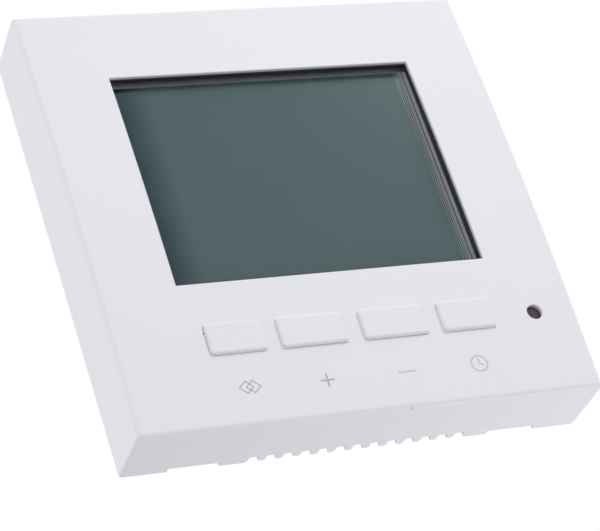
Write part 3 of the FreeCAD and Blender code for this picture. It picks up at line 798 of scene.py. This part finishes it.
def make_marks():
    """Generic marks under the keys: two overlapped squares, a plus, a minus and a clock face."""
    y0, y1 = FACE_Y - PRINT_HEIGHT, FACE_Y + PRINT_ROOT
    squares = [(diamond(*at, *SQUARE_OUTER), diamond(*at, *SQUARE_INNER)) for at in SQUARES_AT]
    make_mark("mark_squares", bands(squares, y0, y1), PRINT_DARK)
    plus = loft(slab(PLUS_UPRIGHT, y0, y1), slab(PLUS_LEVEL, y0 - HAIR, y1))
    make_mark("mark_plus", plus, PRINT_DARK)
    make_mark("mark_minus", loft(slab(MINUS_SPAN, y0, y1)), PRINT_PALE)
    dial = [(circle(DIAL_OUTER_R, *DIAL_AT), circle(DIAL_INNER_R, *DIAL_AT))]
    make_mark("mark_dial", bands(dial, y0, y1), PRINT_PALE)
    hands = ribbon(DIAL_HANDS, HAND_WIDTH)
    make_mark("mark_hands", loft(prism(hands, y0, y1)), PRINT_PALE)


def make_indicator():
    """Dark lens a little below the face."""
    cx, cz = LENS_AT
    front = lens_low.y + LENS_DEPTH
    lens = piece("indicator_window", loft(disc(LENS_R - 0.02, cx, cz, front, -11.8, front=0.25)))
    boolean(lens, loft(disc(2.2, cx, cz, -11.9, lens_high.y, rear=0.2)), "UNION")
    place(lens, LENS, FRONT, "indicator_lens")


# -------------------- display

def make_bezel():
    """Black frame: thin collar lining the window, and the tray behind it."""
    lining = inset_span(WINDOW, LINING_GAP)
    skin = prism(grown(lining, LINING_R)(0.0), *(FACE_Y + y for y in LINING_Y))
    collar = piece("window_frame", loft(skin))
    bow(collar, whole=True)
    outer = face_span(bezel_low, bezel_high)
    boolean(collar, loft(rounded_block(outer, TRAY_Y, bezel_high.y, 0.6)), "UNION")
    inner = loft(
        prism(grown(inset_span(outer, TRAY_WALL), 0.4)(0.0), TRAY_FLOOR_Y, 0),
        prism(grown(inset_span(lining, LINING_WALL), 0.1)(0.0), -20, -12),
    )
    boolean(collar, inner)
    soften(collar, 0.05, 50)
    place(collar, BLACK, FRONT, "display_bezel")


def make_display():
    """Clear pane, the liquid crystal panel behind it, and what lies on the panel: print, a painted
    glint and border strips painted lighter.
    """
    low, high = box_mm("display_window")
    skin = rounded_block(face_span(low, high), low.y, high.y, 0.4, 0.1, 0.1)
    place(piece("window_pane", loft(skin)), PANE, FRONT, "display_window")
    low, high = box_mm("lcd_panel")
    skin = rounded_block(face_span(low, high), low.y, high.y, 0.1, 0.03, 0.03)
    place(piece("lcd_cell", loft(skin)), LCD, FRONT, "lcd_panel")
    make_display_edges(low.y)


def make_display_edges(front):
    """Dark seal round the panel, grey border strips painted lighter to lift the collar's shade, a
    bright strip along its right edge painted as a glint, and the conductors beside it.
    """
    x0, x1, z0, z1 = WINDOW
    root = front + PRINT_ROOT

    def line(inboard, width):
        middle = x1 - inboard
        span = (middle - width / 2, middle + width / 2, z0 + LINE_FOOT, z1 - LINE_HEAD)
        return slab(span, front - LINE_HEIGHT, root)
    side_seal = block(x0, x0 + SIDE_SEAL, front - 0.01, root, z0, z1)
    foot_seal = block(x0, x1, front - 0.015, root, z0, z0 + FOOT_SEAL)
    place(piece("lcd_seals", loft(side_seal, foot_seal)), SEAL, FRONT)
    # grey strips at the head and by the right edge: border print whose tone is painted lighter to
    # lift the collar's shade
    head_border_painted_light = block(x0 - 0.5, x1 + 0.9, front - 0.012, root, *(z1 + z for z in HEAD_BORDER_PAINTED_LIGHT))
    place(piece("lcd_border_painted_light", loft(head_border_painted_light, line(*BORDER_LINE_PAINTED_LIGHT))), BORDER_WITH_PAINTED_LIGHT, FRONT)
    # bright strip painted as a glint along the panel's right edge
    place(piece("lcd_painted_glint", loft(line(*PAINTED_GLINT_LINE))), GLINT, FRONT)
    traces = [line(*conductor) for conductor in CONDUCTORS]
    place(piece("lcd_conductors", loft(*traces)), TRACE, FRONT)


# -------------------- logic board

def make_logic_board():
    """Circuit board with what is soldered to its rear."""
    low, high = box_mm("logic_board")
    skin = rounded_block(face_span(low, high), low.y, high.y, BOARD_R)
    board = piece("logic_pcb", loft(skin))
    boolean(board, loft(*(disc(1.15, x, z, -10, 0) for x, z in board_post_places())))
    place(board, BOARD, FRONT, "logic_board")
    rear = high.y
    make_tracks(rear)
    make_chip(rear)
    make_small_parts(rear)
    make_joints(rear)


def make_tracks(rear):
    """Copper runs under the mask, from the chip to the socket, the switches and the edges."""
    tracks = []
    for i in range(SOCKET_WAYS):
        way_x, lead_x, bend_z = -7.6 + SOCKET_PITCH * i, -7.6 + 1.2 * i, 0.25 * i
        path = [(way_x, 6.6), (way_x, 3.0 - bend_z), (lead_x, -0.6 - bend_z), (lead_x, -3.2)]
        tracks.append((path, TRACK_WIDTH))
    for i in range(6):
        x, z, drop = -13.0 - i, -6.0 - i, -17.0 - 0.9 * i
        path = [(-10.4, z), (x, z), (x, drop), (-21.7 + 8.0 * i, drop - 2.0)]
        tracks.append((path, TRACK_WIDTH))
    for i in range(5):
        x, z = 20.0 + 2.2 * i, -6.5 - i
        tracks.append(([(2.4, z), (x - 4, z), (x, -2.5 - i), (x, 26.0 - i)], TRACK_WIDTH))
    for i in range(4):
        x = -12 - 1.2 * i
        tracks.append(([(x, 12.0), (x, 20.0 + i), (-20 - i, 28 - 0.5 * i)], TRACK_WIDTH))
    tracks.append(([(-35, -30), (-35, 20), (-30, 25)], 1.6))
    tracks.append(([(35, 30), (35, -25), (30, -31), (-8, -31)], 1.4))
    y0, y1 = (rear + y for y in TRACK_Y)
    skins = [prism(ribbon(path, width), y0, y1) for path, width in tracks]
    place(piece("logic_tracks", loft(*skins)), TRACKS, FRONT)


def make_chip(rear):
    """Flat chip with leads on four sides."""
    low, high = box_mm("microcontroller")
    span = inset_span(face_span(low, high), 0.3)
    body = piece("chip_body", loft(rounded_block(span, rear + 0.1, high.y, 0.25, 0.1, 0.12)))
    boolean(body, loft(disc(0.5, span[0] + 1.2, span[3] - 1.2, high.y - 0.12, high.y + 1)))
    place(body, CHIP, FRONT, "microcontroller")
    cx, cz = (low.x + high.x) / 2, (low.z + high.z) / 2
    leads = []
    for i in range(LEADS):
        off = (i - (LEADS - 1) / 2) * LEAD_PITCH
        for side in SIDES:
            for (near, far), (bottom, top), half in LEAD_PARTS:
                x0, x1 = sorted((cx + side * near, cx + side * far))
                span = (x0, x1, cz + off - half, cz + off + half)
                leads.append(slab(span, rear + bottom, rear + top))
            for (near, far), (bottom, top), half in LEAD_PARTS:
                z0, z1 = sorted((cz + side * near, cz + side * far))
                span = (cx + off - half, cx + off + half, z0, z1)
                leads.append(slab(span, rear + bottom, rear + top))
    place(piece("chip_leads", loft(*leads)), SOLDER, FRONT)


SMALL_PARTS = (
    # x, z, whether it lies along x
    (-15, -3, True), (-15, -5.2, True), (-15, 1.5, False), (7, -4, True), (7, -6.2, True),
    (12, -5, False), (16, 2, True), (16, 4.2, True), (14, 14, False), (17, 14, False),
    (-14, 16, True), (-14, 18.4, True), (4, 18, True), (8, 18, True), (12, 20, True),
    (-25, 8, True), (-25, 5.5, True), (-25, 3, True), (26, 12, False), (28.5, 12, False),
    (24, -16, True), (28, -16, True), (-30, -12, False), (-27, -12, False), (5, 28, True),
    (9, 28, True), (15, 30, False), (18, 30, False), (-4, -22, True), (4, -22, True),
)


def make_small_parts(rear):
    """Chip resistors and capacitors with tinned ends."""
    bodies, ends = [], []
    for x, z, level in SMALL_PARTS:
        hx, hz = (1.0, 0.6) if level else (0.6, 1.0)
        span = inset_span((x - hx, x + hx, z - hz, z + hz), 0.2)
        bodies.append(slab(span, rear - 0.05, rear + 0.5))
        for side in SIDES:
            ex, ez = (side * (hx - 0.2), 0) if level else (0, side * (hz - 0.2))
            wx, wz = (0.22, hz - 0.15) if level else (hx - 0.15, 0.22)
            span = (x + ex - wx, x + ex + wx, z + ez - wz, z + ez + wz)
            ends.append(slab(span, rear - 0.05, rear + 0.55))
    place(soften(piece("small_bodies", loft(*bodies)), 0.06), CERAMIC, FRONT)
    place(soften(piece("small_ends", loft(*ends)), 0.06), SOLDER, FRONT)


def make_joints(rear):
    """Solder domes of the switch, lamp and indicator pins."""
    spots = []
    for name in KEY_NAMES:
        x0, x1, z0, z1 = key_span(name)
        cx, cz = (x0 + x1) / 2, (z0 + z1) / 2
        spots += [(cx + sx * 3.2, cz + sz * 2.3) for sx in SIDES for sz in SIDES]
    spots += [(LENS_AT[0] + side * 1.27, LENS_AT[1]) for side in SIDES]
    spots += [(29.1 + dx, z) for z in (-3.7, 16.3) for dx in (-0.9, 0.9)]
    domes = [disc(0.7, x, z, rear - 0.05, rear + 0.55, rear=0.5, steps=16) for x, z in spots]
    place(piece("solder_domes", loft(*domes)), SOLDER, FRONT)


# -------------------- wall side

LID_SCREW_PLACES = corners(LID_SCREW_AT)
SPIGOT = (-SPIGOT_HALF, SPIGOT_HALF, -SPIGOT_HALF, SPIGOT_HALF)


def lid_holes():
    """Cutters of the four lid screws."""
    return [disc(LID_HOLE_R, x, z, *THROUGH) for x, z in LID_SCREW_PLACES]


def slot_skin(x):
    """Wall-screw slot running along x."""
    return prism(outline(SLOT_REACH + SLOT_R, SLOT_R, SLOT_R - 1e-3, x), *THROUGH)


def tab_profile(side, tab_z, front_y):
    """Side view of a catch tab and the strip of plate it is bent from."""
    inner, outer = tab_z - TAB_T, tab_z
    points = [(front_y, inner), (front_y, outer)]
    points += [(-BEND_R + BEND_R * s, outer - BEND_R * (1 - c)) for s, c in quarter(6)]
    points += [(0.0, outer - 3.2), (-PLATE_T, outer - 3.2), (-PLATE_T, inner)]
    return [(y, side * z) for y, z in points]


def make_plate():
    """Rolled steel plate: wall slots, lid opening and four catch tabs bent forwards."""
    low, high = box_mm("mounting_plate")
    skin = rounded_block(face_span(low, high), -PLATE_T, high.y, PANEL_R)
    plate = piece("wall_plate", loft(skin))
    notches, tabs, windows = [], [], []
    for side in SIDES:
        z0, z1 = mirrored(side, high.z - 2.4, high.z + 1)
        for hand in SIDES:
            x0, x1 = hand * TAB_X - TAB_HALF, hand * TAB_X + TAB_HALF
            notches.append(block(x0 - 0.8, x1 + 0.8, -3, 3, z0, z1))
            tabs.append(prism(tab_profile(side, high.z, low.y), x0, x1))
            x0, x1 = hand * TAB_X - TAB_WINDOW_HALF, hand * TAB_X + TAB_WINDOW_HALF
            windows.append(block(x0, x1, *TAB_WINDOW_Y, z0, z1))
    boolean(plate, loft(*notches))
    boolean(plate, loft(*tabs, axis="x"), "UNION")
    opening = grown(inset_span(SPIGOT, -0.2), 1.0)(0.0)
    slots = [slot_skin(hand * SLOT_X) for hand in SIDES]
    boolean(plate, loft(*windows, *lid_holes(), *slots, prism(opening, *THROUGH)))
    soften(plate, 0.12)
    place(plate, PLATE, BASE, "mounting_plate")


def make_lid():
    """Lid of the rear body: flange with a raised rim and ribs, spigot, slot for the connector."""
    low, high = box_mm("base_lid")
    skin = rounded_block(face_span(low, high), low.y, -PLATE_T, PANEL_R, front=0.35)
    lid = piece("rear_lid", loft(skin))
    boolean(lid, loft(rounded_block(SPIGOT, -PLATE_T - 0.2, high.y, 1.0, rear=0.2)), "UNION")
    mouth = inset_span(face_span(*box_mm("header_pins")), -1.95)
    rim = loft(prism(grown(inset_span(mouth, -0.9), 0.8)(0.0), low.y - 0.25, low.y + 0.3))
    ribs = [block(-16, 16, low.y - 0.2, low.y + 0.3, z - 0.4, z + 0.4) for z in (-16, -10, -4, 2)]
    boolean(lid, rim, "UNION")
    boolean(lid, loft(*ribs), "UNION")
    boolean(lid, loft(*lid_holes(), prism(grown(mouth, 0.5)(0.0), *THROUGH)))
    soften(lid, 0.08)
    place(lid, HOUSING, BASE, "base_lid")


def make_housing():
    """Rear body: open box with a stepped bay for the terminals and a blank label."""
    _, high = box_mm("rear_housing")
    h, d, w = high.x, high.y, HOUSING_WALL
    body = piece("rear_body", loft(rounded_block((-h, h, -h, h), 0.0, d, PANEL_R, rear=0.8)))
    boolean(body, loft(block(-h - 1, h + 1, BAY_Y, d + 1, -h - 1, BAY_Z)))
    hollow = piece("hollow", loft(rounded_block((-h + w, h - w, -h + w, h - w), -1, d - w, 1.0)))
    boolean(hollow, loft(block(-h, h, BAY_Y - w, d, -h - 1, BAY_Z + w)))
    boolean(body, hollow.data)
    bpy.data.objects.remove(hollow)
    mouth = inset_span(face_span(*box_mm("terminal_block")), -0.1)
    boolean(body, loft(slab(mouth, BAY_Y - w - 1, BAY_Y + 1)))
    boolean(body, loft(prism(grown(LABEL_SPAN, 1.5)(0.0), d - 0.3, d + 1)))
    grooves = []
    for i in range(GRIP_COUNT):
        y = GRIP_FIRST_Y + GRIP_PITCH * i
        for side in SIDES:
            x0, x1 = mirrored(side, h - GRIP_DEPTH, h + 1)
            grooves.append(block(x0, x1, y, y + GRIP_WIDTH, -2.0, 20.0))
    boolean(body, loft(*grooves))
    bosses = [disc(BOSS_R, x, z, 0.0, 5.4, steps=24) for x, z in LID_SCREW_PLACES]
    boolean(body, loft(*bosses), "UNION")
    bores = [disc(BOSS_BORE_R, x, z, -1, 5.0, steps=16) for x, z in LID_SCREW_PLACES]
    boolean(body, loft(*bores))
    soften(body, 0.25, 50)
    place(body, HOUSING, BASE, "rear_housing")
    sheet = rounded_block(inset_span(LABEL_SPAN, 0.4), d - 0.32, d - 0.15, 1.2)
    place(piece("blank_label", loft(sheet)), LABEL, BASE)


def terminal_places():
    """The x of each terminal."""
    return [(i - (TERMINALS - 1) / 2) * TERMINAL_PITCH for i in range(TERMINALS)]


def make_terminal_block():
    """Green block: funnelled wire entries below, square pockets behind, grooves between ways."""
    low, high = box_mm("terminal_block")
    skin = rounded_block(face_span(low, high), low.y, high.y, 0.3, rear=0.3)
    body = piece("terminal_body", loft(skin))
    entries, pockets, grooves = [], [], []
    for x in terminal_places():
        entries.append([
            (low.z - 1, circle(WIRE_R + 0.9, x, WIRE_Y)), (low.z, circle(WIRE_R + 0.5, x, WIRE_Y)),
            (low.z + 0.7, circle(WIRE_R, x, WIRE_Y)), (low.z + 4, circle(WIRE_R, x, WIRE_Y)),
        ])
        span = (x - CLAMP_HALF, x + CLAMP_HALF, CLAMP_Z - CLAMP_HALF, CLAMP_Z + CLAMP_HALF)
        pockets.append(rounded_block(span, WIRE_Y - 2.8, high.y + 1, 0.2))
    for x in terminal_places()[1:]:
        middle = x - TERMINAL_PITCH / 2
        x0, x1 = middle - GROOVE_HALF, middle + GROOVE_HALF
        grooves.append(block(x0, x1, BAY_Y + 1, high.y + 1, low.z - 1, low.z + 0.5))
        grooves.append(block(x0, x1, high.y - 0.5, high.y + 1, low.z - 1, high.z + 1))
    boolean(body, loft(*entries, axis="z"))
    boolean(body, loft(*pockets))
    boolean(body, loft(*grooves))
    soften(body, 0.1, 50)
    place(body, TERMINAL, BASE, "terminal_block")


def make_clamps():
    """Brass lift clamps in the pockets."""
    low, high = box_mm("terminal_clamps")
    half = (high.z - low.z) / 2
    bodies, tunnels, holes = [], [], []
    for x in terminal_places():
        span = (x - half, x + half, low.z, high.z)
        bodies.append(rounded_block(span, low.y, high.y, 0.4))
        tunnels.append(prism(circle(WIRE_R + 0.2, x, WIRE_Y), low.z - 1, high.z + 1))
        holes.append(disc(1.45, x, CLAMP_Z, WIRE_Y, high.y + 1))
    clamps = piece("clamp_cages", loft(*bodies))
    boolean(clamps, loft(*tunnels, axis="z"))
    boolean(clamps, loft(*holes))
    place(soften(clamps, 0.1, 50), BRASS, BASE, "terminal_clamps")


def make_screws(name, node_name, places, head_y, out, head_r, shank_r, length, body):
    """Pan-head screws. The head stands out from head_y towards out (-1 or 1) along y."""
    top = head_y + out * HEAD_HEIGHT
    heads, shanks, drives = [], [], []
    for i, (x, z) in enumerate(places):
        y0, y1 = sorted((head_y, top))
        front, rear = (0.45, 0.08) if out < 0 else (0.08, 0.45)
        heads.append(disc(head_r, x, z, y0, y1, front, rear))
        y0, y1 = sorted((head_y - out * length, head_y + out * 0.3))
        shanks.append(disc(shank_r, x, z, y0, y1, 0.2, 0.2, 20))
        y0, y1 = sorted((top + out * 1.0, top - out * RECESS_OF_HEAD))
        turn = math.radians(35 + 47 * i)    # each screw stopped at another angle
        reach = head_r * 0.66
        for a in (turn, turn + math.pi / 2):
            arm = [(x + s * reach * math.cos(a), z + s * reach * math.sin(a)) for s in SIDES]
            drives.append(prism(ribbon(arm, head_r * 0.27), y0, y1))
    screws = piece(name, loft(*heads))
    boolean(screws, loft(*shanks), "UNION")
    boolean(screws, loft(*drives[0::2]))
    boolean(screws, loft(*drives[1::2]))
    place(screws, ZINC, body, node_name)


def make_all_screws():
    """Screws of the logic board, the lid and the terminals."""
    _, board_high = box_mm("logic_board")
    posts, seat = board_post_places(), board_high.y
    make_screws("board_fixings", "board_screws", posts, seat, 1, 1.9, 0.95, 5.0, FRONT)
    lid_low, _ = box_mm("base_lid")
    make_screws("lid_fixings", "lid_screws", LID_SCREW_PLACES, lid_low.y, -1, 1.9, 1.0, 7.5, BASE)
    _, block_high = box_mm("terminal_block")
    ways, seat = [(x, CLAMP_Z) for x in terminal_places()], block_high.y - 1.8
    make_screws("clamp_fixings", "terminal_screws", ways, seat, 1, 2.2, 1.3, 1.6, BASE)


def make_pins():
    """Header pins with tapered tips."""
    low, high = box_mm("header_pins")
    half, tip_half = PIN_HALF, PIN_HALF * 0.45
    pins = []
    for i in range(PIN_COLUMNS):
        x = low.x + half + (high.x - low.x - 2 * half) * i / (PIN_COLUMNS - 1)
        for j in range(PIN_ROWS):
            z = low.z + half + (high.z - low.z - 2 * half) * j / (PIN_ROWS - 1)
            square = outline(half, half, 0.02, x, z, 1)
            tip = outline(tip_half, tip_half, 0.01, x, z, 1)
            pins.append([(low.y, tip), (low.y + PIN_TAPER, square), (high.y, square)])
    place(piece("header_contacts", loft(*pins)), PIN_BRASS, BASE, "header_pins")


# -------------------- CAD nodes that show as they are

CAD_LOOKS = {
    "light_guide": moulded("guide_acrylic", (0.70, 0.74, 0.74), 0.3, 0.002, (0.2, 0.3)),
    "backlight_lamps": moulded("lamp_epoxy", (0.80, 0.80, 0.72), 0.2, 0.002, (0.2, 0.3)),
    "contact_strip": moulded("contact_silicone", (0.45, 0.10, 0.08), 0.2, 0.01, (0.6, 0.7)),
    "tact_switches": BLACK[0],
    "indicator_lamp": moulded("indicator_epoxy", (0.35, 0.05, 0.05), 0.2, 0.002, (0.2, 0.3)),
    "clock_crystal": ZINC[0],
    "cell_holder": BLACK[0],
    "backup_cell": metal("cell_case", (0.74, 0.74, 0.75), (0.18, 0.3)),
    "room_thermistor": moulded("sensor_epoxy", (0.02, 0.02, 0.025), 0.2, 0.004, (0.25, 0.35)),
    "socket_strip": BLACK[0],
    "power_board": BOARD[0],
    "power_board_screws": ZINC[0],
    "relay": moulded("relay_case", (0.02, 0.09, 0.28), 0.3, 0.004, (0.3, 0.4)),
    "film_capacitor": moulded("film_case", (0.62, 0.50, 0.10), 0.3, 0.004, (0.35, 0.45)),
    "electrolytic_capacitors": moulded("sleeve", (0.03, 0.03, 0.05), 0.3, 0.002, (0.25, 0.35)),
    "varistor": moulded("varistor_coat", (0.04, 0.12, 0.32), 0.4, 0.02, (0.4, 0.5)),
    "fuse": CHIP[0],
    "transformer": moulded("winding_tape", (0.60, 0.45, 0.06), 0.6, 0.02, (0.4, 0.5)),
    "pin_strip": BLACK[0],
}
CAD_LOOKS.update({"plunger_" + name: BLACK[0] for name in KEY_NAMES})


def dress_cad_nodes():
    """Gives the CAD nodes that have no piece of their own a material."""
    for name, material in CAD_LOOKS.items():
        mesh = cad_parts[name].data
        mesh.materials.clear()
        mesh.materials.append(material)


# -------------------- build

make_cover()
for key_name in KEY_NAMES:
    make_key(key_name)
make_marks()
make_indicator()
make_bezel()
make_display()
make_logic_board()
make_plate()
make_lid()
make_housing()
make_terminal_block()
make_clamps()
make_all_screws()
make_pins()
dress_cad_nodes()


# -------------------- camera, lights, floor

CAMERA_AT = Vector((-190.193, -368.533, -233.249)) * MM
CAMERA_RIGHT = Vector((0.91091, -0.29648, -0.28702))
CAMERA_DOWN = Vector((-0.08036, 0.55478, -0.82812))
CAMERA_LENS = 160.63


def make_camera():
    """Camera fitted to the photo."""
    data = bpy.data.cameras.new("camera")
    data.sensor_width = 36.0
    data.lens = CAMERA_LENS
    data.clip_start, data.clip_end = 0.01, 100.0
    camera = piece("camera", data)
    right = CAMERA_RIGHT.normalized()
    up = (-CAMERA_DOWN + right * CAMERA_DOWN.dot(right)).normalized()
    turn = Matrix((right, up, right.cross(up))).transposed().to_4x4()
    camera.matrix_world = Matrix.Translation(CAMERA_AT) @ turn
    bpy.context.scene.camera = camera


def make_light(name, at, size, power):
    """Round area light that faces the object."""
    data = bpy.data.lights.new(name, "AREA")
    data.shape = "DISK"
    data.size = size
    data.energy = power
    light = piece(name, data)
    light.location = at
    light.rotation_mode = "QUATERNION"
    light.rotation_quaternion = (-Vector(at)).to_track_quat("-Z", "Y")


def make_world():
    """Even white surroundings."""
    world = bpy.data.worlds.new("studio")
    bpy.context.scene.world = world
    world.use_nodes = True
    background = world.node_tree.nodes["Background"]
    background.inputs["Color"].default_value = (1.0, 1.0, 1.0, 1)
    background.inputs["Strength"].default_value = 1.0


FLOOR_HALF, FLOOR_Z = 8.0, -0.4                 # metres
FLOOR_NEAR, FLOOR_FAR = (0.52, 0.52, 0.53), (0.95, 0.95, 0.955)
FLOOR_FADE = (0.6, 2.2)                         # from the first colour to the second, metres


def make_floor():
    """Plain pale floor, well below the object, that brightens with distance."""
    bm = bmesh.new()
    bmesh.ops.create_grid(bm, x_segments=4, y_segments=4, size=FLOOR_HALF)
    floor = piece("floor", to_mesh(bm))
    floor.location = (0, 0, FLOOR_Z)
    mat, bsdf = shader("floor_paint", FLOOR_NEAR, 0.7)
    reach = node(mat, "ShaderNodeVectorMath", operation="LENGTH")
    link(mat, position(mat), reach.inputs[0])
    fade = spread(mat, reach.outputs["Value"], 0, 1, *FLOOR_FADE)
    tint(mat, bsdf, fade, FLOOR_NEAR, FLOOR_FAR)
    floor.data.materials.append(mat)


LIGHTS = (
    # name, place, size in metres, power in watts
    ("front_right", (0.45, -0.5, 0.5), 0.2, 1.3),
    ("below", (0.12, 0.02, -0.2), 0.1, 0.12),
    ("left", (-0.6, 0.1, -0.05), 0.35, 0.28),
)

make_camera()
make_world()
make_floor()
for light_values in LIGHTS:
    make_light(*light_values)
bpy.context.scene.view_settings.view_transform = "Standard"
